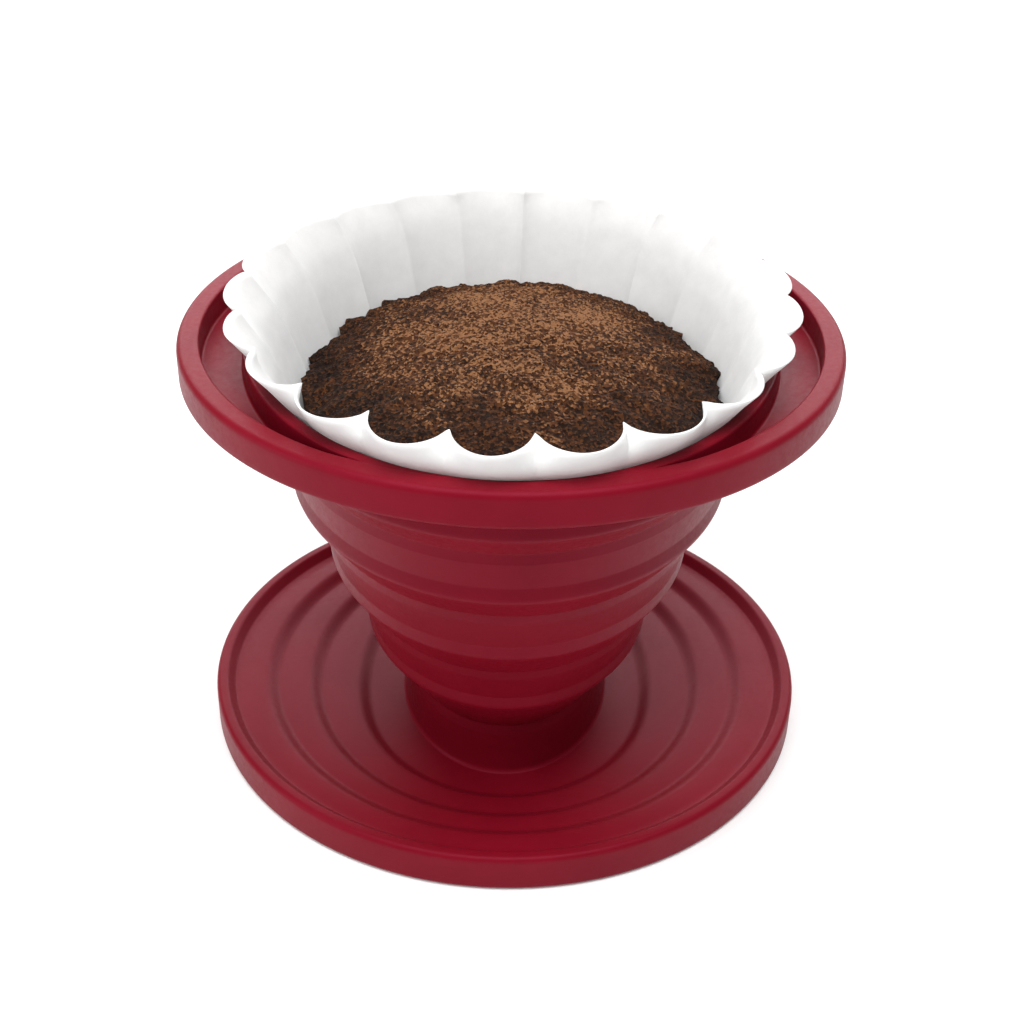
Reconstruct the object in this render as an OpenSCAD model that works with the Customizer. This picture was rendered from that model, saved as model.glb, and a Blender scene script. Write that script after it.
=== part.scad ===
// Collapsible pour-over coffee dripper.
// A round saucer carries an oval bellows cone and a round rim with two finger trays.
// A pleated paper filter full of ground coffee stands in the cone.
// Millimetres, +Z up, origin at the centre of the saucer's underside.

/* [Saucer] */
// Outer diameter of the saucer
saucer_d = 120; // [118:1:130]
// Height of the raised edge round the saucer
saucer_edge_h = 7.4; // [6:0.2:9]
// Width of the raised edge
saucer_edge_w = 3.2; // [2.4:0.2:4]
// Thickness of the saucer's floor
saucer_floor_t = 2.6; // [2:0.2:3]

/* [Rim] */
// Outer diameter of the rim
rim_d = 122.2; // [120:0.2:126]
// Width of the rim's flat ring
rim_ring_w = 4.1; // [3:0.1:4.5]
// Height of the rim's outer wall
rim_h = 6.6; // [6:0.2:8]
// Height of the rim's top face above the table
rim_top_z = 84.4; // [82:0.2:90]
// Half the width of the oval mouth, side to side
mouth_half_w = 46.6; // [46:0.1:47]
// Width of the lip between the mouth and a finger tray
lip_w = 2.6; // [2:0.2:3]
// Depth of a finger tray
tray_depth = 4.8; // [4.6:0.1:5.2]

/* [Bellows] */
// How much further the oval reaches to the front and back than to the sides
oval_stretch = 9.8; // [8:0.2:10]
// Distance from the middle to the centre of a tight front or back arc
oval_end_centre = 14.4; // [13:0.2:16]
// Thickness of a stiff band
wall_t = 2; // [1.6:0.1:2]
// Thickness of a fold, measured level
fold_t = 1.8; // [1.2:0.1:2]
// Taper of the mouth, from the lip to the top fold
mouth_taper = 1.8; // [1.5:0.1:2.2]

/* [Outlet] */
// Diameter of an outlet hole
outlet_d = 5; // [4:0.5:6]
// Distance between outlet holes
outlet_pitch = 10; // [8:0.5:11]
// Height of the outlet floor's underside above the table
outlet_floor_z = 1; // [0.5:0.5:2]
// Thickness of the outlet floor
outlet_floor_t = 2; // [1.5:0.5:2.5]

/* [Filter and coffee] */
// Height of the filter's top edge above the rim
filter_proud = 6.4; // [5:0.2:7]
// Flare of the filter's top edge, out past the mouth
filter_flare = 2.8; // [2:0.2:4]
// Thickness of the pleated paper, fold to fold
filter_t = 1.4; // [1:0.1:1.6]
// Gap between the paper and the bellows
filter_gap = 0.4; // [0.3:0.1:0.6]
// Height of the coffee's edge above the table
coffee_edge_z = 71; // [70:1:78]
// Rise of the coffee mound above its edge
coffee_rise = 9; // [6:0.5:9]

/* [Hidden] */
$fn = 96;

silicone = "#7d1626";
silicone_dark = "#6a1020";
paper = "#f2f1ef";
coffee = "#4a3021";

saucer_r = saucer_d / 2;
rim_r = rim_d / 2;
ring_inner_r = rim_r - rim_ring_w;
rim_bottom_z = rim_top_z - rim_h;
tray_floor_z = rim_top_z - tray_depth;
lip_half_w = mouth_half_w + lip_w;

// An oval is four arcs: a tight one front and back, a wide one left and right.
// A tight arc's radius is the oval's half width less end_inset.
end_inset = oval_end_centre - oval_stretch;
// Distance from the middle to the centre of a wide arc, on the far side
side_centre = (pow(oval_end_centre, 2) - pow(end_inset, 2)) / (2 * end_inset);
// Half of the angle that a wide arc turns through
side_angle = atan(oval_end_centre / side_centre);

// A joint of the bellows is a point [half width, height] on its outer face.
// A shoulder ends the band above a fold, and a crease starts the band below it.
neck_foot = [20.8, 0];
lower_crease = [20.4, 13.2];
lower_shoulder = [27.6, 24.2];
middle_crease = [30.8, 34.2];
middle_shoulder = [34.4, 40.8];
upper_crease = [38, 51.8];
upper_shoulder = [41, 57.4];
top_crease = [42.4, 67.4];
top_shoulder = [45.6, 72.6];
funnel_top = [mouth_half_w - mouth_taper + wall_t, rim_bottom_z];

// The filter's outer face stays inside the creases
filter_bottom = [16.8, 14.4];
filter_waist = [top_crease[0] - wall_t - filter_gap, top_crease[1]];
filter_mouth = [mouth_half_w - filter_gap, rim_top_z];
filter_top = [mouth_half_w + filter_flare, rim_top_z + filter_proud];

// A filled shape has a core, which its swept part overlaps by this much
core_overlap = 0.6;
// Number of sides of a core
core_sides = 48;
// A core's flat faces lie this far inside those of the swept part
seat_inset = 0.1;
// A cutter runs past the faces that it opens by this much
cut = 1;
// The coffee mound is a dome cut off at this angle above its edge
dome_angle = 75;

// Sweeps a half profile (x = half width of the oval, y = height) round the oval.
// The profile starts outside end_inset.
module oval_sweep() {
    for (turn = [0, 180])
        rotate([0, 0, turn]) {
            translate([0, oval_end_centre, 0])
                rotate([0, 0, side_angle])
                    rotate_extrude(angle = 180 - 2 * side_angle)
                        translate([-end_inset, 0]) children();
            translate([-side_centre, 0, 0])
                rotate([0, 0, -side_angle])
                    rotate_extrude(angle = 2 * side_angle)
                        translate([side_centre, 0]) children();
        }
}

// A straight-sided filled oval with flat facets
module oval_core(half_w, bottom, height) {
    translate([0, 0, bottom])
        linear_extrude(height = height)
            polygon([
                for (i = [0 : core_sides - 1])
                    let (turn = 360 * i / core_sides)
                        [half_w * cos(turn), (half_w + oval_stretch) * sin(turn)]
            ]);
}

// A tapering oval band between two levels, thickness measured level
module oval_band(lower, upper, thick) {
    oval_sweep()
        polygon([
            [lower[0] - thick, lower[1]], lower,
            upper, [upper[0] - thick, upper[1]]
        ]);
}

module round_ring(outer, inner, bottom, height) {
    rotate_extrude()
        translate([inner, bottom])
            square([outer - inner, height]);
}

// The hole for the neck is a little small, so that the two overlap as one moulding
module saucer_floor() {
    color(silicone) difference() {
        cylinder(r = saucer_r - saucer_edge_w, h = saucer_floor_t);
        oval_core(neck_foot[0] - core_overlap, -cut, saucer_floor_t + 2 * cut);
    }
}

module saucer_edge() {
    color(silicone)
        round_ring(saucer_r, saucer_r - saucer_edge_w, 0, saucer_edge_h);
}

module outlet_neck() {
    color(silicone_dark) oval_band(neck_foot, lower_crease, wall_t);
}

// Closes the neck's foot, with a row of outlet holes along the oval
module outlet_floor() {
    color(silicone_dark) difference() {
        oval_core(lower_crease[0] - wall_t + core_overlap, outlet_floor_z, outlet_floor_t);
        for (row = [-1, 0, 1])
            translate([0, row * outlet_pitch, 0])
                cylinder(d = outlet_d, h = outlet_floor_z + outlet_floor_t + cut);
    }
}

module lower_fold() {
    color(silicone_dark) oval_band(lower_crease, lower_shoulder, fold_t);
}

module lower_band() {
    color(silicone) oval_band(lower_shoulder, middle_crease, wall_t);
}

module middle_fold() {
    color(silicone_dark) oval_band(middle_crease, middle_shoulder, fold_t);
}

module middle_band() {
    color(silicone) oval_band(middle_shoulder, upper_crease, wall_t);
}

module upper_fold() {
    color(silicone_dark) oval_band(upper_crease, upper_shoulder, fold_t);
}

module upper_band() {
    color(silicone) oval_band(upper_shoulder, top_crease, wall_t);
}

module top_fold() {
    color(silicone_dark) oval_band(top_crease, top_shoulder, fold_t);
}

module mouth_funnel() {
    color(silicone) oval_band(top_shoulder, funnel_top, wall_t);
}

// The lip joins the rim's ring at the front and the back
module mouth_lip() {
    color(silicone) intersection() {
        oval_sweep() polygon([
            [mouth_half_w - mouth_taper, rim_bottom_z],
            [lip_half_w, rim_bottom_z],
            [lip_half_w, rim_top_z],
            [mouth_half_w, rim_top_z]
        ]);
        cylinder(r = ring_inner_r, h = rim_top_z);
    }
}

module rim_ring() {
    color(silicone) round_ring(rim_r, ring_inner_r, rim_bottom_z, rim_h);
}

// A crescent floor between the lip and the ring; side is -1 or 1
module finger_tray(side) {
    color(silicone_dark) intersection() {
        oval_sweep()
            translate([lip_half_w, rim_bottom_z])
                square([rim_r - lip_half_w, tray_floor_z - rim_bottom_z]);
        cylinder(r = ring_inner_r, h = rim_top_z);
        translate([side > 0 ? 0 : -rim_r, -rim_r, 0])
            cube([rim_r, 2 * rim_r, rim_top_z]);
    }
}

module paper_filter() {
    color(paper) {
        oval_sweep()
            polygon([
                [filter_bottom[0] - filter_t, filter_bottom[1]],
                filter_bottom, filter_waist, filter_mouth, filter_top,
                [filter_top[0] - filter_t, filter_top[1]],
                [filter_mouth[0] - filter_t, filter_mouth[1]],
                [filter_waist[0] - filter_t, filter_waist[1]]
            ]);
        oval_core(filter_bottom[0] - core_overlap, filter_bottom[1] + seat_inset, filter_t);
    }
}

// Half width of the coffee against the paper at a height above the waist
function coffee_half_w(z) = filter_waist[0] - filter_t + (filter_mouth[0] - filter_waist[0])
    * (z - filter_waist[1]) / (filter_mouth[1] - filter_waist[1]);

// The coffee fills the filter and rises in the middle
module coffee_grounds() {
    edge_w = coffee_half_w(coffee_edge_z);
    bottom_z = filter_bottom[1] + seat_inset + filter_t;
    slice_t = 0.1;
    steps = 6;
    color(coffee) hull() {
        oval_core(filter_bottom[0] - filter_t - core_overlap, bottom_z, slice_t);
        oval_core(filter_waist[0] - filter_t - core_overlap, filter_waist[1], slice_t);
        for (i = [0 : steps])
            let (turn = dome_angle * i / steps)
                oval_core(
                    (edge_w - core_overlap) * cos(turn),
                    coffee_edge_z + coffee_rise * sin(turn) / sin(dome_angle), slice_t
                );
    }
}

saucer_floor();
saucer_edge();
outlet_neck();
outlet_floor();
lower_fold();
lower_band();
middle_fold();
middle_band();
upper_fold();
upper_band();
top_fold();
mouth_funnel();
mouth_lip();
rim_ring();
finger_tray(-1);  // finger_tray_left
finger_tray(1);  // finger_tray_right
paper_filter();
coffee_grounds();
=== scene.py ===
"""Collapsible silicone pour-over dripper: the looks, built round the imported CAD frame.

Metres, +Z up, origin at the centre of the saucer's underside, as in the CAD.
"""

import math

import bmesh
import bpy
from mathutils import Matrix, Vector, noise


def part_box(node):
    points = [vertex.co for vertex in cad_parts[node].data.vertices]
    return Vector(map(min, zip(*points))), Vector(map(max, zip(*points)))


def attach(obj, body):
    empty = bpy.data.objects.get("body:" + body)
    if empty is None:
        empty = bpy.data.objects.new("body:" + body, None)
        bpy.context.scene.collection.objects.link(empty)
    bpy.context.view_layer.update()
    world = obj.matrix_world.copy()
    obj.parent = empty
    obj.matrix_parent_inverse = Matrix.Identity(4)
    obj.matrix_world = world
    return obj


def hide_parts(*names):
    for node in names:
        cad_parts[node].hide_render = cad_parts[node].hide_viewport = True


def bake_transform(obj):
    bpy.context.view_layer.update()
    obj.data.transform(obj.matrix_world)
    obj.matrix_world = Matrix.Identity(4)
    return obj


MM = 0.001
AROUND = 288  # points round every ring of the saucer and the bellows; the rim has twice as many
SHARP = math.radians(48)  # an edge that turns more than this is shaded as a sharp one

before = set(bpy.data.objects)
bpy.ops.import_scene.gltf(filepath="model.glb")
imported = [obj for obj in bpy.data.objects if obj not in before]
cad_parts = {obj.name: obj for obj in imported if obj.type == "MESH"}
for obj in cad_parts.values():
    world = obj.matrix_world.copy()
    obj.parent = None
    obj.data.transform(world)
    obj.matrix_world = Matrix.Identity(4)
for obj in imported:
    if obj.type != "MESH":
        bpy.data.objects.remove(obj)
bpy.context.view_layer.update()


# ---------------------------------------------------------------- frame sizes


def half_width(node):
    """Half the width of a CAD node, side to side."""
    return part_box(node)[1][0]


def low(node):
    """The height of a CAD node's lowest point."""
    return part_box(node)[0][2]


def high(node):
    """The height of a CAD node's highest point."""
    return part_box(node)[1][2]


SAUCER_R = half_width("saucer_edge")
SAUCER_EDGE_W = SAUCER_R - half_width("saucer_floor")
SAUCER_EDGE_Z = high("saucer_edge")
SAUCER_FLOOR_Z = high("saucer_floor")
RIM_R = half_width("rim_ring")
RIM_LOW_Z = low("rim_ring")
RIM_TOP_Z = high("rim_ring")
TRAY_Z = high("finger_tray_left")
TRAY_R = half_width("finger_tray_right")
LIP_HALF_W = half_width("mouth_lip")
PAPER_TOP_Z = high("paper_filter")
PAPER_LOW_Z = low("paper_filter")
COFFEE_TOP_Z = high("coffee_grounds")
COFFEE_RISE = 9.1 * MM
COFFEE_EDGE_Z = COFFEE_TOP_Z - COFFEE_RISE
# How much further the oval reaches to the front than to the sides
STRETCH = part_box("upper_band")[1][1] - half_width("upper_band")

WALL = 2.0 * MM
LIP_W = 2.6 * MM
MOUTH_HALF_W = LIP_HALF_W - LIP_W
FUNNEL_HALF_W = half_width("mouth_funnel")
NECK_TAPER = 0.4 * MM

# The outer corners of the bellows, from the bottom up, as (half width, height)
NECK_FOOT = (half_width("outlet_neck"), SAUCER_FLOOR_Z)
LOWER_CREASE = (NECK_FOOT[0] - NECK_TAPER, high("outlet_neck"))
LOWER_SHOULDER = (half_width("lower_fold"), high("lower_fold"))
MIDDLE_CREASE = (half_width("lower_band"), high("lower_band"))
MIDDLE_SHOULDER = (half_width("middle_fold"), high("middle_fold"))
UPPER_CREASE = (half_width("middle_band"), high("middle_band"))
UPPER_SHOULDER = (half_width("upper_fold"), high("upper_fold"))
TOP_CREASE = (half_width("upper_band"), high("upper_band"))
TOP_SHOULDER = (half_width("top_fold"), high("top_fold"))
FUNNEL_TOP = (FUNNEL_HALF_W, RIM_LOW_Z)


# ------------------------------------------------------------- mesh building


def new_object(name, verts, faces, material, smooth=True):
    """A mesh object with its faces turned outward; edges sharper than SHARP stay sharp."""
    mesh = bpy.data.meshes.new(name)
    mesh.from_pydata([tuple(v) for v in verts], [], faces)
    shape = bmesh.new()
    shape.from_mesh(mesh)
    bmesh.ops.recalc_face_normals(shape, faces=shape.faces)
    shape.to_mesh(mesh)
    shape.free()
    if smooth:
        mesh.polygons.foreach_set("use_smooth", [True] * len(mesh.polygons))
        mesh.set_sharp_from_angle(angle=SHARP)
    obj = bpy.data.objects.new(name, mesh)
    bpy.context.scene.collection.objects.link(obj)
    mesh.materials.append(material)
    return obj


def grid_faces(rows, cols, closed_rows):
    """Quads between rows of points that each run once round.

    With closed_rows, the last row is joined to the first.
    """
    faces = []
    last = rows if closed_rows else rows - 1
    for i in range(last):
        a, b = i * cols, ((i + 1) % rows) * cols
        for j in range(cols):
            k = (j + 1) % cols
            faces.append((a + j, a + k, b + k, b + j))
    return faces


def angles(count):
    """Evenly spaced angles once round."""
    return [2 * math.pi * j / count for j in range(count)]


def oval_point(half_w, angle, z):
    """A point of the oval with this half width; the angle is the ellipse's own parameter."""
    return (half_w * math.cos(angle), (half_w + STRETCH) * math.sin(angle), z)


def oval_radius(half_w, bearing):
    """The distance from the middle to the oval in a direction."""
    a, b = half_w, half_w + STRETCH
    return a * b / math.hypot(b * math.cos(bearing), a * math.sin(bearing))


def smooth_step(low_value, high_value, value):
    """0 below the low value, 1 above the high one, with a smooth rise between."""
    t = min(1.0, max(0.0, (value - low_value) / (high_value - low_value)))
    return t * t * (3 - 2 * t)


def turned(arm, angle):
    """A flat vector turned anticlockwise."""
    c, s = math.cos(angle), math.sin(angle)
    return Vector((arm.x * c - arm.y * s, arm.x * s + arm.y * c))


ARC_STEP = 0.2  # radians from point to point round a fillet
FILLET_SHARE = 0.48  # a fillet takes up no more than this of the runs beside it
RUN_STEP = 0.35 * MM  # metres from point to point along a run


def rounded(corners):
    """A polyline through corners (x, z, radius).

    A corner with a radius becomes an arc, and long runs are divided.
    """
    path = []
    for i, (x, z, radius) in enumerate(corners):
        here = Vector((x, z))
        if radius <= 0 or i in (0, len(corners) - 1):
            path.append(here)
            continue
        before = Vector(corners[i - 1][:2]) - here
        after = Vector(corners[i + 1][:2]) - here
        half = before.angle(after) / 2
        reach = min(radius / math.tan(half), FILLET_SHARE * before.length,
                    FILLET_SHARE * after.length)
        before.normalize()
        after.normalize()
        start, end = here + before * reach, here + after * reach
        to_centre = reach * math.tan(half) / math.sin(half)
        centre = here + (before + after).normalized() * to_centre
        arm = start - centre
        sweep = arm.angle_signed(end - centre, 0.0)
        turns = max(4, int((math.pi - 2 * half) / ARC_STEP))
        path += [centre + turned(arm, -sweep * k / turns) for k in range(turns + 1)]
    dense = [path[0]]
    for point in path[1:]:
        base = dense[-1]
        gap = (point - base).length
        if gap < 1e-6:
            continue
        pieces = max(1, int(gap / RUN_STEP))
        dense += [base.lerp(point, k / pieces) for k in range(1, pieces + 1)]
    return dense


def oval_ring_mesh(name, profile, material):
    """Sweeps a closed profile of (half width, height) points round the oval."""
    verts = []
    for p in profile:
        verts += [oval_point(p[0], a, p[1]) for a in angles(AROUND)]
    return new_object(name, verts, grid_faces(len(profile), AROUND, True), material)


# ----------------------------------------------------------------- materials


def node_material(name):
    """A new material with its node tree and its shader."""
    material = bpy.data.materials.new(name)
    material.use_nodes = True
    tree = material.node_tree
    shader = next(n for n in tree.nodes if n.type == "BSDF_PRINCIPLED")
    return material, tree, shader


def add_node(tree, kind, **inputs):
    """A node with some of its inputs set."""
    made = tree.nodes.new(kind)
    for key, value in inputs.items():
        made.inputs[key.replace("_", " ")].default_value = value
    return made


def ramp(tree, source, stops):
    """A colour ramp fed by source; stops are (position, colour)."""
    made = tree.nodes.new("ShaderNodeValToRGB")
    while len(made.color_ramp.elements) < len(stops):
        made.color_ramp.elements.new(0.5)
    for element, (position, colour) in zip(made.color_ramp.elements, stops):
        element.position = position
        element.color = (*colour, 1.0)
    tree.links.new(source, made.inputs["Fac"])
    return made.outputs["Color"]


def grey(value):
    return (value, value, value)


def noise_node(tree, scale, detail=4.0, roughness=0.55):
    """Noise over the object's own coordinates."""
    coords = tree.nodes.new("ShaderNodeTexCoord")
    made = add_node(tree, "ShaderNodeTexNoise", Scale=scale, Detail=detail, Roughness=roughness)
    tree.links.new(coords.outputs["Object"], made.inputs["Vector"])
    return made.outputs["Fac"]


def bump(tree, shader, source, strength, distance):
    made = add_node(tree, "ShaderNodeBump", Strength=strength, Distance=distance)
    tree.links.new(source, made.inputs["Height"])
    tree.links.new(made.outputs["Normal"], shader.inputs["Normal"])


def multiply_add(tree, source, factor, addend):
    """source * factor + addend, where source and addend are outputs of nodes."""
    made = add_node(tree, "ShaderNodeMath")
    made.operation = "MULTIPLY_ADD"
    made.inputs[1].default_value = factor
    tree.links.new(source, made.inputs[0])
    tree.links.new(addend, made.inputs[2])
    return made.outputs["Value"]


def silicone_material():
    """Burgundy moulded silicone: satin and faintly mottled, with a fine grain."""
    material, tree, shader = node_material("silicone")
    mottle = noise_node(tree, 60.0, detail=5.0)
    colour = ramp(tree, mottle, [
        (0.3, (0.166, 0.0026, 0.0100)), (0.7, (0.196, 0.0038, 0.0132))])
    tree.links.new(colour, shader.inputs["Base Color"])
    dust = noise_node(tree, 900.0, detail=3.0, roughness=0.7)
    rough = ramp(tree, dust, [(0.35, grey(0.40)), (0.75, grey(0.52))])
    tree.links.new(rough, shader.inputs["Roughness"])
    shader.inputs["Specular IOR Level"].default_value = 0.18
    shader.inputs["Specular Tint"].default_value = (1.0, 0.32, 0.50, 1.0)
    grain = noise_node(tree, 1800.0, detail=2.0)
    bump(tree, shader, grain, 0.10, 0.00008)
    return material


def paper_material():
    """White filter paper: matt and faintly fibrous, with some light scattered inside it and a
    faint painted glow.
    """
    material, tree, shader = node_material("filter_paper")
    cloud = noise_node(tree, 240.0, detail=6.0, roughness=0.65)
    colour = ramp(tree, cloud, [(0.3, (0.74, 0.74, 0.735)), (0.7, (0.80, 0.80, 0.795))])
    tree.links.new(colour, shader.inputs["Base Color"])
    shader.inputs["Roughness"].default_value = 0.85
    shader.inputs["Specular IOR Level"].default_value = 0.2
    shader.inputs["Subsurface Weight"].default_value = 0.12
    shader.inputs["Subsurface Radius"].default_value = (1.0, 0.95, 0.9)
    shader.inputs["Subsurface Scale"].default_value = 0.004
    # a faint painted glow that brightens the paper a little everywhere
    shader.inputs["Emission Color"].default_value = (1, 1, 1, 1)
    shader.inputs["Emission Strength"].default_value = 0.02
    fibres = noise_node(tree, 1500.0, detail=6.0, roughness=0.7)
    bump(tree, shader, fibres, 0.25, 0.00012)
    return material


def coffee_material():
    """Ground coffee: dark brown with a few pale grains; painted light warms it high up and at
    the back.
    """
    material, tree, shader = node_material("ground_coffee")
    coords = tree.nodes.new("ShaderNodeTexCoord")
    grains = add_node(tree, "ShaderNodeTexVoronoi", Scale=2100.0)
    tree.links.new(coords.outputs["Object"], grains.inputs["Vector"])
    tint = tree.nodes.new("ShaderNodeSeparateColor")
    tree.links.new(grains.outputs["Color"], tint.inputs["Color"])
    place = tree.nodes.new("ShaderNodeSeparateXYZ")
    tree.links.new(coords.outputs["Object"], place.inputs["Vector"])
    # painted light and shade: the grounds lighter towards the mound's top and darker down at
    # its edge, in the paper's shade
    crown = tree.nodes.new("ShaderNodeMapRange")
    crown.inputs["From Min"].default_value = COFFEE_EDGE_Z + 1.0 * MM
    crown.inputs["From Max"].default_value = COFFEE_TOP_Z + 1.0 * MM
    crown.inputs["To Min"].default_value = -0.10
    crown.inputs["To Max"].default_value = 0.30
    tree.links.new(place.outputs["Z"], crown.inputs["Value"])
    patches = noise_node(tree, 90.0, detail=4.0)
    # painted light towards the back, added to the painted light by height
    painted_light_high_and_back = multiply_add(tree, place.outputs["Y"], 4.0, crown.outputs["Result"])
    patches_and_painted_light = multiply_add(tree, patches, 0.7, painted_light_high_and_back)
    total = multiply_add(tree, tint.outputs["Red"], 0.55, patches_and_painted_light)
    colour = ramp(tree, total, [
        (0.25, (0.004, 0.0017, 0.0012)), (0.60, (0.019, 0.0072, 0.0034)),
        (0.88, (0.080, 0.027, 0.0085)), (1.0, (0.230, 0.105, 0.046))])
    tree.links.new(colour, shader.inputs["Base Color"])
    shader.inputs["Roughness"].default_value = 0.85
    shader.inputs["Specular IOR Level"].default_value = 0.12
    bump(tree, shader, grains.outputs["Distance"], 0.7, 0.0003)
    return material


SILICONE = silicone_material()
PAPER = paper_material()
COFFEE = coffee_material()


# -------------------------------------------------------------------- saucer


# The floor steps up three times on the way out.
# Each step's distance from the middle, to the side and to the front:
STEP_SIDE = [28.0 * MM, 38.2 * MM, 47.0 * MM]
STEP_FRONT = [36.8 * MM, 43.4 * MM, 49.4 * MM]
STEP_H = 1.25 * MM
STEP_W = 3.0 * MM
STEP_CROWN = 0.22 * MM  # the rise in the middle of each flat ring
STEP_ROWS = 24
STEP_CROWDING = 1.3  # above 1, a ring's rows crowd towards its step
FLOOR_Z = SAUCER_FLOOR_Z - 0.6 * MM  # the floor's lowest level
FLOOR_HIGH_Z = FLOOR_Z + len(STEP_SIDE) * STEP_H
FLOOR_TUCK = 0.5 * MM  # how far the floor runs in under the neck's foot
EDGE_INNER = SAUCER_R - SAUCER_EDGE_W
EDGE_TOE = 1.5 * MM  # how far in from the edge the stepped floor ends
EDGE_FOOT = 0.6 * MM  # how far in from the edge its inner face starts to rise
EDGE_BATTER = 1.0 * MM  # how far out the inner face leans at the top


def saucer_floor_points(angle):
    """Points (radius, height) over the stepped floor, from the neck's foot to the edge."""
    side, front = math.cos(angle) ** 2, math.sin(angle) ** 2
    steps = [s * side + f * front for s, f in zip(STEP_SIDE, STEP_FRONT)]
    foot = oval_radius(NECK_FOOT[0] - FLOOR_TUCK, angle)
    stops = [foot] + steps + [EDGE_INNER - EDGE_TOE]
    points = []
    for index, (inner, outer) in enumerate(zip(stops, stops[1:])):
        for k in range(STEP_ROWS):
            t = (k / STEP_ROWS) ** STEP_CROWDING
            height = 0.0
            if index:
                level = STEP_H * (index - 1 + smooth_step(0.0, STEP_W, (outer - inner) * t))
                height = level + STEP_CROWN * math.sin(math.pi * t)
            points.append((inner + (outer - inner) * t, FLOOR_Z + height))
    return points


def build_saucer():
    """The saucer's floor, raised edge and underside, as one piece."""
    wall = rounded([
        (EDGE_INNER - EDGE_TOE, FLOOR_HIGH_Z, 0),
        (EDGE_INNER - EDGE_FOOT, FLOOR_HIGH_Z, 0.6 * MM),
        (EDGE_INNER + EDGE_BATTER, SAUCER_EDGE_Z, 0.8 * MM),
        (SAUCER_R, SAUCER_EDGE_Z, 1.1 * MM),
        (SAUCER_R, 0.0, 0.8 * MM),
        (EDGE_INNER, 0.0, 0),
    ])
    ring = angles(AROUND)
    rows = list(zip(*[saucer_floor_points(a) for a in ring]))
    rows += [[(p.x, p.y)] * AROUND for p in wall]
    rows.append([(oval_radius(NECK_FOOT[0] - FLOOR_TUCK, a), 0.0) for a in ring])
    verts = []
    for row in rows:
        for a, (radius, z) in zip(ring, row):
            verts.append((radius * math.cos(a), radius * math.sin(a), z))
    saucer = new_object("saucer", verts, grid_faces(len(rows), AROUND, True), SILICONE)
    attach(saucer, "base")
    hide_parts("saucer_floor", "saucer_edge")


# ------------------------------------------------------------------- bellows

SPLIT = 2.2 * MM  # a band's own piece stops this far below the crease at its top
BEAD_SPLIT = 3.9 * MM  # and this far above the shoulder at its foot, clear of the bead
BEAD = 0.8 * MM  # how far a shoulder's bead stands out
BEAD_DROP = 0.2 * MM
BEAD_TOP = 2.6 * MM  # where the bead runs out into the band
BEAD_TOP_FILLET = 1.2 * MM
SHOULDER_FILLET = 1.5 * MM
CREASE_FILLET = 0.35 * MM
CREASE_TUCK = 0.3 * MM  # how far a crease is drawn in
INNER_FILLET = 0.3 * MM  # the least fillet on the inner face
FOOT_FILLET = 1.6 * MM
FOOT_SINK = 0.35 * MM  # how far the neck's foot runs into the saucer's floor
FOOT_LIFT = 0.15 * MM  # how far above the floor its fillet starts


def along(a, b, distance):
    """The point at a distance from a towards b, in (half width, height)."""
    d = Vector((b[0] - a[0], b[1] - a[1]))
    d = d.normalized() * distance
    return (a[0] + d.x, a[1] + d.y)


def skin_piece(name, corners):
    """A closed ring from outer corners (half width, height, fillet), WALL thick."""
    outer = rounded(corners)
    inner = rounded([(x - WALL, z, max(INNER_FILLET, r)) for x, z, r in corners])
    profile = [(p.x, p.y) for p in outer] + [(p.x, p.y) for p in reversed(inner)]
    return oval_ring_mesh(name, profile, SILICONE)


def fold_piece(name, below, crease, shoulder, above):
    """A fold between a crease and a shoulder, with the ends of the two bands that it joins."""
    start = along(crease, below, SPLIT)
    bead_top = along(shoulder, above, BEAD_TOP)
    end = along(shoulder, above, BEAD_SPLIT)
    return skin_piece(name, [
        (*start, 0), (crease[0] - CREASE_TUCK, crease[1], CREASE_FILLET),
        (shoulder[0] + BEAD, shoulder[1] - BEAD_DROP, SHOULDER_FILLET),
        (*bead_top, BEAD_TOP_FILLET), (*end, 0)])


def band_piece(name, shoulder, crease):
    """The straight part of a band, between the two folds' pieces."""
    start = along(shoulder, crease, BEAD_SPLIT)
    end = along(crease, shoulder, SPLIT)
    return skin_piece(name, [(*start, 0), (*end, 0)])


def build_bellows():
    """The folds, the bands between them and the neck."""
    corners = [NECK_FOOT, LOWER_CREASE, LOWER_SHOULDER, MIDDLE_CREASE, MIDDLE_SHOULDER,
               UPPER_CREASE, UPPER_SHOULDER, TOP_CREASE, TOP_SHOULDER, FUNNEL_TOP]
    folds = [("lower_fold", "base", "lower"), ("middle_fold", "lower", "middle"),
             ("upper_fold", "middle", "upper"), ("top_fold", "upper", "rim")]
    for i, (name, lower_body, upper_body) in enumerate(folds):
        below, crease, shoulder, above = corners[2 * i: 2 * i + 4]
        piece = fold_piece(name + "_skin", below, crease, shoulder, above)
        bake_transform(piece)
        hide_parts(name)
    bands = [("lower_band", "lower"), ("middle_band", "middle"), ("upper_band", "upper")]
    for i, (name, body) in enumerate(bands):
        piece = band_piece(name + "_skin", corners[2 * i + 2], corners[2 * i + 3])
        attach(piece, body)
        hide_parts(name)
    neck_top = along(LOWER_CREASE, NECK_FOOT, SPLIT)
    sunk = FLOOR_Z - FOOT_SINK
    outer = rounded([
        (NECK_FOOT[0] + FOOT_FILLET, sunk, 0),
        (NECK_FOOT[0], FLOOR_Z + FOOT_LIFT, FOOT_FILLET), (*neck_top, 0)])
    inner = rounded([(neck_top[0] - WALL, neck_top[1], 0), (NECK_FOOT[0] - WALL, sunk, 0)])
    neck = oval_ring_mesh("outlet_neck_skin", [(p.x, p.y) for p in outer + inner], SILICONE)
    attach(neck, "base")
    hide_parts("outlet_neck")


# ----------------------------------------------------------------------- rim


RIM_LOW_ROUND = 0.8 * MM
RIM_TOP_ROUND = 1.3 * MM
LIP_ROUND = 0.8 * MM
TRAY_ROUND = 0.5 * MM
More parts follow.
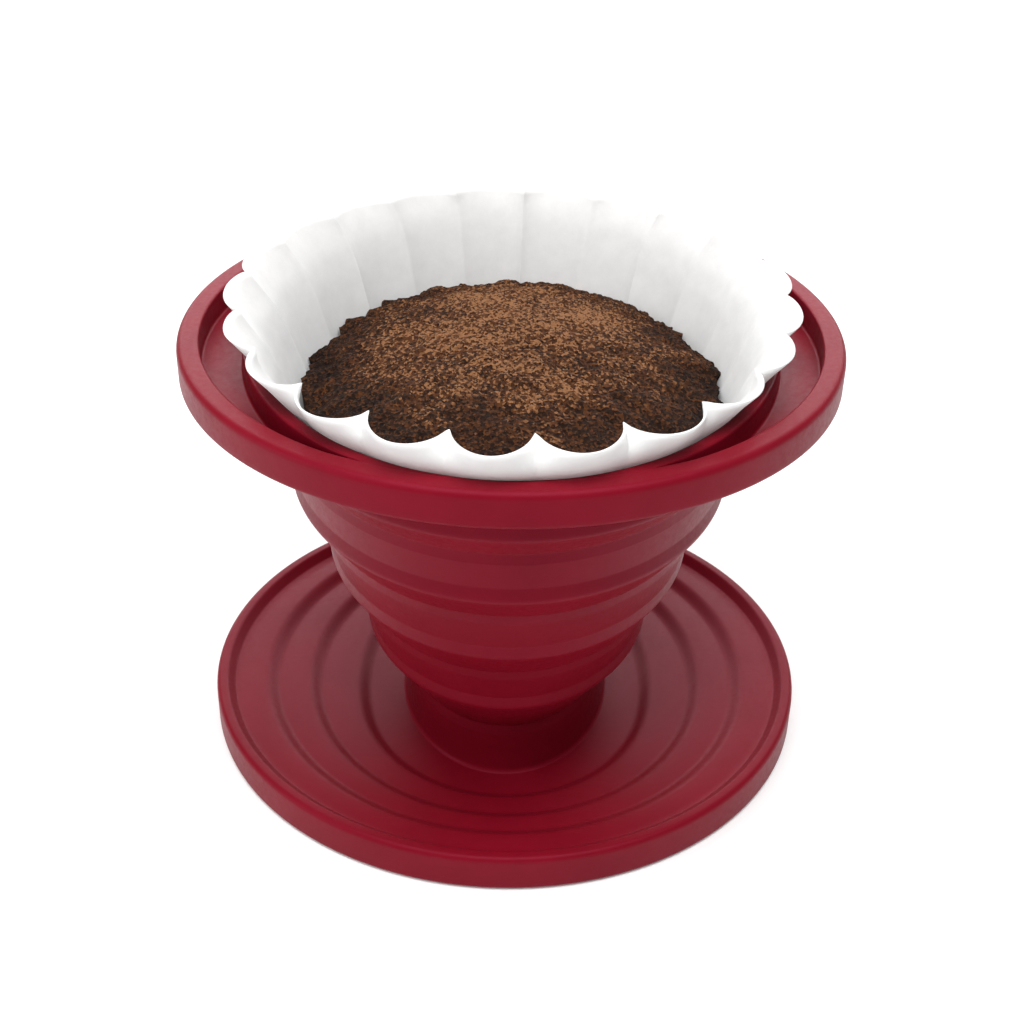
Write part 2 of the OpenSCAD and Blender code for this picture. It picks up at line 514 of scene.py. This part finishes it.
# A tray starts where it is this wide, and has its full depth where it is this wide
TRAY_START_W = 0.15 * MM
TRAY_FULL_W = 1.6 * MM
TRAY_ROUND_SHARE = 0.45  # a narrow tray's fillet is this share of its width
FUNNEL_OVERLAP = 0.3 * MM


def rim_column(angle):
    """The direction of one closed profile, and its points (radius, height).

    It runs round the rim, over the finger tray and the lip, and down the mouth.
    Where the tray is closed, its points fall together on the rim's top face.
    """
    lip = Vector(oval_point(LIP_HALF_W, angle, 0)).to_2d()
    direction = lip.normalized()
    lip_r = min(lip.length, TRAY_R)
    bearing = math.atan2(direction.y, direction.x)
    mouth = oval_radius(MOUTH_HALF_W, bearing)
    width = TRAY_R - lip_r
    depth = (RIM_TOP_Z - TRAY_Z) * smooth_step(TRAY_START_W, TRAY_FULL_W, width)
    floor_z = RIM_TOP_Z - depth
    edge = min(TRAY_ROUND, TRAY_ROUND_SHARE * width + 1e-6)
    corner = min(edge, depth / 2 + 1e-7)
    rows = []

    def arc(x, z, radius, start, end, steps):
        for k in range(steps + 1):
            turn = math.radians(start + (end - start) * k / steps)
            rows.append((x + radius * math.cos(turn), z + radius * math.sin(turn)))

    def run(start, end, pieces):
        """The points between two ends, which belong to the arcs on either side."""
        for k in range(1, pieces):
            rows.append(tuple(p + (q - p) * k / pieces for p, q in zip(start, end)))

    # under the rim and up its outer wall
    rows.append((oval_radius(FUNNEL_HALF_W, bearing) - FUNNEL_OVERLAP, RIM_LOW_Z))
    rows.append((TRAY_R, RIM_LOW_Z))
    arc(RIM_R - RIM_LOW_ROUND, RIM_LOW_Z + RIM_LOW_ROUND, RIM_LOW_ROUND, -90, 0, 6)
    run((RIM_R, RIM_LOW_Z + RIM_LOW_ROUND), (RIM_R, RIM_TOP_Z - RIM_TOP_ROUND), 6)
    arc(RIM_R - RIM_TOP_ROUND, RIM_TOP_Z - RIM_TOP_ROUND, RIM_TOP_ROUND, 0, 90, 8)
    run((RIM_R - RIM_TOP_ROUND, RIM_TOP_Z), (TRAY_R + edge, RIM_TOP_Z), 4)
    # down into the tray and across its floor
    arc(TRAY_R + edge, RIM_TOP_Z - corner, corner, 90, 180, 5)
    run((TRAY_R, RIM_TOP_Z - edge), (TRAY_R, floor_z + edge), 5)
    arc(TRAY_R - corner, floor_z + corner, corner, 0, -90, 5)
    run((TRAY_R - corner, floor_z), (lip_r + corner, floor_z), 4)
    # up the lip and over its top
    arc(lip_r + corner, floor_z + corner, corner, -90, -180, 5)
    run((lip_r, floor_z + edge), (lip_r, RIM_TOP_Z - edge), 5)
    arc(lip_r - edge, RIM_TOP_Z - corner, corner, 0, 90, 5)
    run((lip_r - edge, RIM_TOP_Z), (mouth + LIP_ROUND, RIM_TOP_Z), 4)
    arc(mouth + LIP_ROUND, RIM_TOP_Z - LIP_ROUND, LIP_ROUND, 90, 180, 6)
    # down the mouth
    inner_low = (oval_radius(FUNNEL_HALF_W - WALL, bearing), RIM_LOW_Z)
    run((mouth, RIM_TOP_Z - LIP_ROUND), inner_low, 6)
    rows.append(inner_low)
    return direction, rows


def build_rim():
    """The rim with its lip and trays, as one piece, and the funnel under it."""
    columns = [rim_column(a) for a in angles(AROUND * 2)]
    count = len(columns[0][1])
    verts = []
    for i in range(count):
        for direction, rows in columns:
            radius, z = rows[i]
            verts.append((direction.x * radius, direction.y * radius, z))
    rim = new_object("rim", verts, grid_faces(count, AROUND * 2, True), SILICONE)
    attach(rim, "rim")
    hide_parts("rim_ring", "mouth_lip", "finger_tray_left", "finger_tray_right")
    start = along(TOP_SHOULDER, FUNNEL_TOP, BEAD_SPLIT)
    end = (FUNNEL_TOP[0], FUNNEL_TOP[1] + 0.2 * MM)  # a little way into the rim
    funnel = skin_piece("mouth_funnel_skin", [(*start, 0), (*end, 0)])
    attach(funnel, "rim")
    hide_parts("mouth_funnel")


# ------------------------------------------------------------ paper and coffee

PLEATS = 21
LOBE_POWER = 0.55  # below 1, the lobes are broad and the folds between them narrow
PAPER_T = 0.35 * MM
FRONT_DROP = 0.7 * MM  # how far the top edge dips at the front lobes
BACK_DROP = 1.0 * MM  # and all along the back
# Where one of the sharp inward folds lies: a third of a pleat to the right of the front
FOLD_AT = -math.pi / 2 + 0.34 * 2 * math.pi / PLEATS


def paper_section(height):
    """The filter's measures at a height.

    They are its half width, its reach to the front and to the back, and the depth of
    its pleats at the sides and at the front.
    """
    # (height, then the measures in millimetres)
    stops = [
        (PAPER_LOW_Z, 15.2, 25.0, 25.0, 0.0, 0.0),
        (PAPER_LOW_Z + 12 * MM, 20.5, 30.3, 30.3, 0.4, 0.4),
        (TOP_CREASE[1], 39.9, 49.6, 49.4, 1.3, 0.5),
        (RIM_TOP_Z - 5.0 * MM, 44.2, 54.2, 53.0, 1.4, 0.4),
        (RIM_TOP_Z - 0.8 * MM, 46.2, 56.1, 54.4, 1.5, 0.3),
        (RIM_TOP_Z + 0.9 * MM, 47.4, 57.6, 55.0, 1.5, 0.3),
        (RIM_TOP_Z + 3.6 * MM, 49.6, 58.6, 56.0, 1.8, 1.8),
        (PAPER_TOP_Z, 52.3, 59.8, 57.2, 2.6, 7.8),
    ]
    for lower, upper in zip(stops, stops[1:]):
        if height <= upper[0]:
            t = max(0.0, (height - lower[0]) / (upper[0] - lower[0]))
            return [(p + (q - p) * t) * MM for p, q in zip(lower[1:], upper[1:])]
    return [measure * MM for measure in stops[-1][1:]]


def pleat_wave(angle):
    """0 at a pleat's sharp inward fold, 1 at its round outward lobe."""
    wobble = 0.10 * math.sin(3 * angle + 0.7) + 0.07 * math.sin(5 * angle + 2.1)
    return abs(math.sin(PLEATS * (angle - FOLD_AT) / 2 + wobble)) ** LOBE_POWER


def paper_point(angle, height, inset=0.0):
    """A point (x, y) of the pleated filter."""
    a, b_front, b_back, side_depth, front_depth = paper_section(height)
    front = max(0.0, -math.sin(angle)) ** 1.5
    depth = side_depth + (front_depth - side_depth) * front
    b = b_front if math.sin(angle) < 0 else b_back
    shrink = depth * (1.0 - pleat_wave(angle)) + inset
    return ((a - shrink) * math.cos(angle), (b - shrink) * math.sin(angle))


def build_filter():
    """The pleated paper: a flat bottom, then levels up to the flared top edge."""
    around = PLEATS * 24
    levels = 60
    floor_rows = 8
    bottom = PAPER_LOW_Z + 0.3 * MM
    ring = angles(around)
    verts = []
    for k in range(1, floor_rows):
        for a in ring:
            x, y = paper_point(a, bottom)
            verts.append((x * k / floor_rows, y * k / floor_rows, bottom))
    for k in range(levels + 1):
        height = bottom + (PAPER_TOP_Z - bottom) * (k / levels)
        rise = smooth_step(RIM_TOP_Z, PAPER_TOP_Z, height)
        for a in ring:
            x, y = paper_point(a, height)
            front, back = max(0.0, -math.sin(a)), max(0.0, math.sin(a))
            drop = FRONT_DROP * pleat_wave(a) * front + BACK_DROP * back ** 2
            verts.append((x, y, height - drop * rise))
    faces = grid_faces(floor_rows + levels, around, False)
    centre = len(verts)
    verts.append((0, 0, bottom))
    faces += [(centre, (j + 1) % around, j) for j in range(around)]
    paper = new_object("paper_filter_pleated", verts, faces, PAPER)
    thick = paper.modifiers.new("thickness", "SOLIDIFY")
    thick.thickness = PAPER_T
    thick.offset = 0.0
    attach(paper, "filter")
    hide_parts("paper_filter")


COFFEE_ROUNDNESS = 2.2  # the power of the mound's profile
# The relief of the grounds, from lumps to grains: (height, noise per metre, noise level)
RELIEF = [(0.6 * MM, 220, 1.7 * MM), (0.42 * MM, 900, 0.3 * MM), (0.26 * MM, 2100, 4.1 * MM)]
# How far the ragged edge lies inside the paper: a mean, a least, and two noises like those
EDGE_INSET = 1.2 * MM
EDGE_INSET_LEAST = 0.15 * MM
EDGE_RELIEF = [(2.2 * MM, 150, 9 * MM), (1.8 * MM, 480, 5 * MM)]


def relief(x, y, layers):
    """The sum of some layers of noise at a point."""
    return sum(height * noise.noise(Vector((x, y, level)) * frequency)
               for height, frequency, level in layers)


def build_coffee():
    """The mound of grounds, with sides and a bottom inside the paper."""
    around = 480
    rings = 170
    side_rows = 12
    bottom = PAPER_LOW_Z + 1.2 * MM
    ring = angles(around)
    edge = []
    for a in ring:
        inset = EDGE_INSET + relief(40 * MM * math.cos(a), 50 * MM * math.sin(a), EDGE_RELIEF)
        edge.append(paper_point(a, COFFEE_EDGE_Z, inset=max(EDGE_INSET_LEAST, inset)))
    verts = []
    for i in range(1, rings + 1):
        share = i / rings
        mound_z = COFFEE_EDGE_Z + COFFEE_RISE * (1 - share ** COFFEE_ROUNDNESS)
        for x, y in edge:
            px, py = x * share, y * share
            verts.append((px, py, mound_z + relief(px, py, RELIEF)))
    for k in range(1, side_rows + 1):
        height = COFFEE_EDGE_Z + (bottom - COFFEE_EDGE_Z) * k / side_rows
        verts += [(*paper_point(a, height, inset=0.5 * MM), height) for a in ring]
    faces = grid_faces(rings + side_rows, around, False)
    crown, under = len(verts), len(verts) + 1
    verts += [(0, 0, COFFEE_TOP_Z), (0, 0, bottom)]
    last = (rings + side_rows - 1) * around
    for j in range(around):
        following = (j + 1) % around
        faces.append((crown, following, j))
        faces.append((under, last + j, last + following))
    grounds = new_object("coffee_mound", verts, faces, COFFEE)
    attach(grounds, "filter")
    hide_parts("coffee_grounds")


# ------------------------------------------------------------ camera and light


def build_camera():
    """A camera in front of the part, looking down on it."""
    pitch = math.radians(32.02)
    distance = 309.15 * MM
    aim = Vector((0.75 * MM, 0, 43.09 * MM))
    roll = math.radians(1.25)
    cam_data = bpy.data.cameras.new("camera")
    cam_data.sensor_width = 36.0
    cam_data.lens = 54.65
    cam_data.clip_start = 0.01
    cam = bpy.data.objects.new("camera", cam_data)
    bpy.context.scene.collection.objects.link(cam)
    back = Vector((0, -math.cos(pitch), math.sin(pitch)))
    spot = aim + back * distance
    turn = Matrix.Rotation(math.pi / 2 - pitch, 4, "X") @ Matrix.Rotation(roll, 4, "Z")
    cam.matrix_world = Matrix.Translation(spot) @ turn
    bpy.context.scene.camera = cam


def area_light(name, spot, aim, size, power):
    """A white rectangular light at a spot, turned to its aim."""
    data = bpy.data.lights.new(name, "AREA")
    data.shape = "RECTANGLE"
    data.size, data.size_y = size
    data.energy = power
    lamp = bpy.data.objects.new(name, data)
    bpy.context.scene.collection.objects.link(lamp)
    lamp.location = spot
    lamp.rotation_euler = (Vector(aim) - Vector(spot)).to_track_quat("-Z", "Y").to_euler()


def build_stage():
    """A plain pale floor, an even white world and three soft lights."""
    reach = 3
    verts = [(-reach, -reach, 0), (reach, -reach, 0), (reach, reach, 0), (-reach, reach, 0)]
    material, tree, shader = node_material("floor")
    tint = noise_node(tree, 3.0, detail=1.0)
    colour = ramp(tree, tint, [(0.0, grey(0.88)), (1.0, grey(0.90))])
    tree.links.new(colour, shader.inputs["Base Color"])
    shader.inputs["Roughness"].default_value = 0.9
    shader.inputs["Emission Color"].default_value = (1, 1, 1, 1)
    shader.inputs["Emission Strength"].default_value = 0.12
    floor = new_object("floor", verts, [(0, 1, 2, 3)], material, smooth=False)
    floor.location.z = -0.2 * MM
    world = bpy.data.worlds.new("world")
    world.use_nodes = True
    world.node_tree.nodes["Background"].inputs["Color"].default_value = (1, 1, 1, 1)
    world.node_tree.nodes["Background"].inputs["Strength"].default_value = 0.26
    bpy.context.scene.world = world
    area_light("overhead", (0.0, -0.25, 1.0), (0, 0, 0.05), (1.0, 0.8), 13.6)
    area_light("backdrop", (0.0, 0.95, 0.55), (0, 0, 0.06), (1.6, 0.7), 11.0)
    area_light("left", (-0.8, -0.3, 0.35), (0, 0, 0.05), (0.5, 0.5), 2.0)
    bpy.context.scene.view_settings.view_transform = "Standard"


build_camera()
build_stage()
build_saucer()
build_bellows()
build_rim()
build_filter()
build_coffee()
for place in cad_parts["outlet_floor"].material_slots:
    place.material = SILICONE
